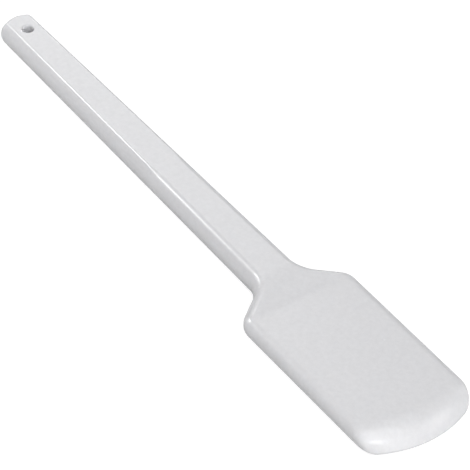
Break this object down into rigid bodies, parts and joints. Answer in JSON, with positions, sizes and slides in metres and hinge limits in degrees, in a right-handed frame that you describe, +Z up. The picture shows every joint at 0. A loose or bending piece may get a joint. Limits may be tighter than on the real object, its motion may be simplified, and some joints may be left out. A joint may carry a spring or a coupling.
{
  "type": "spatula",
  "caption": "One-piece moulded spatula: a tapered bar handle with a hanging hole widens into a flat blade with rounded sides that thins towards a crowned tip.",
  "frame": {"origin": "under the middle of the part's box, on the plane of the underside that it rests on", "axes": "+X from the hanging end to the tip, +Z up out of the flat top"},
  "size_m": [0.343, 0.059, 0.0137],
  "materials": {
    "white_plastic": "smooth moulded white plastic with a soft satin gloss"
  },
  "bodies": {
    "root": {"spatula": "white_plastic"}
  },
  "joints": []
}
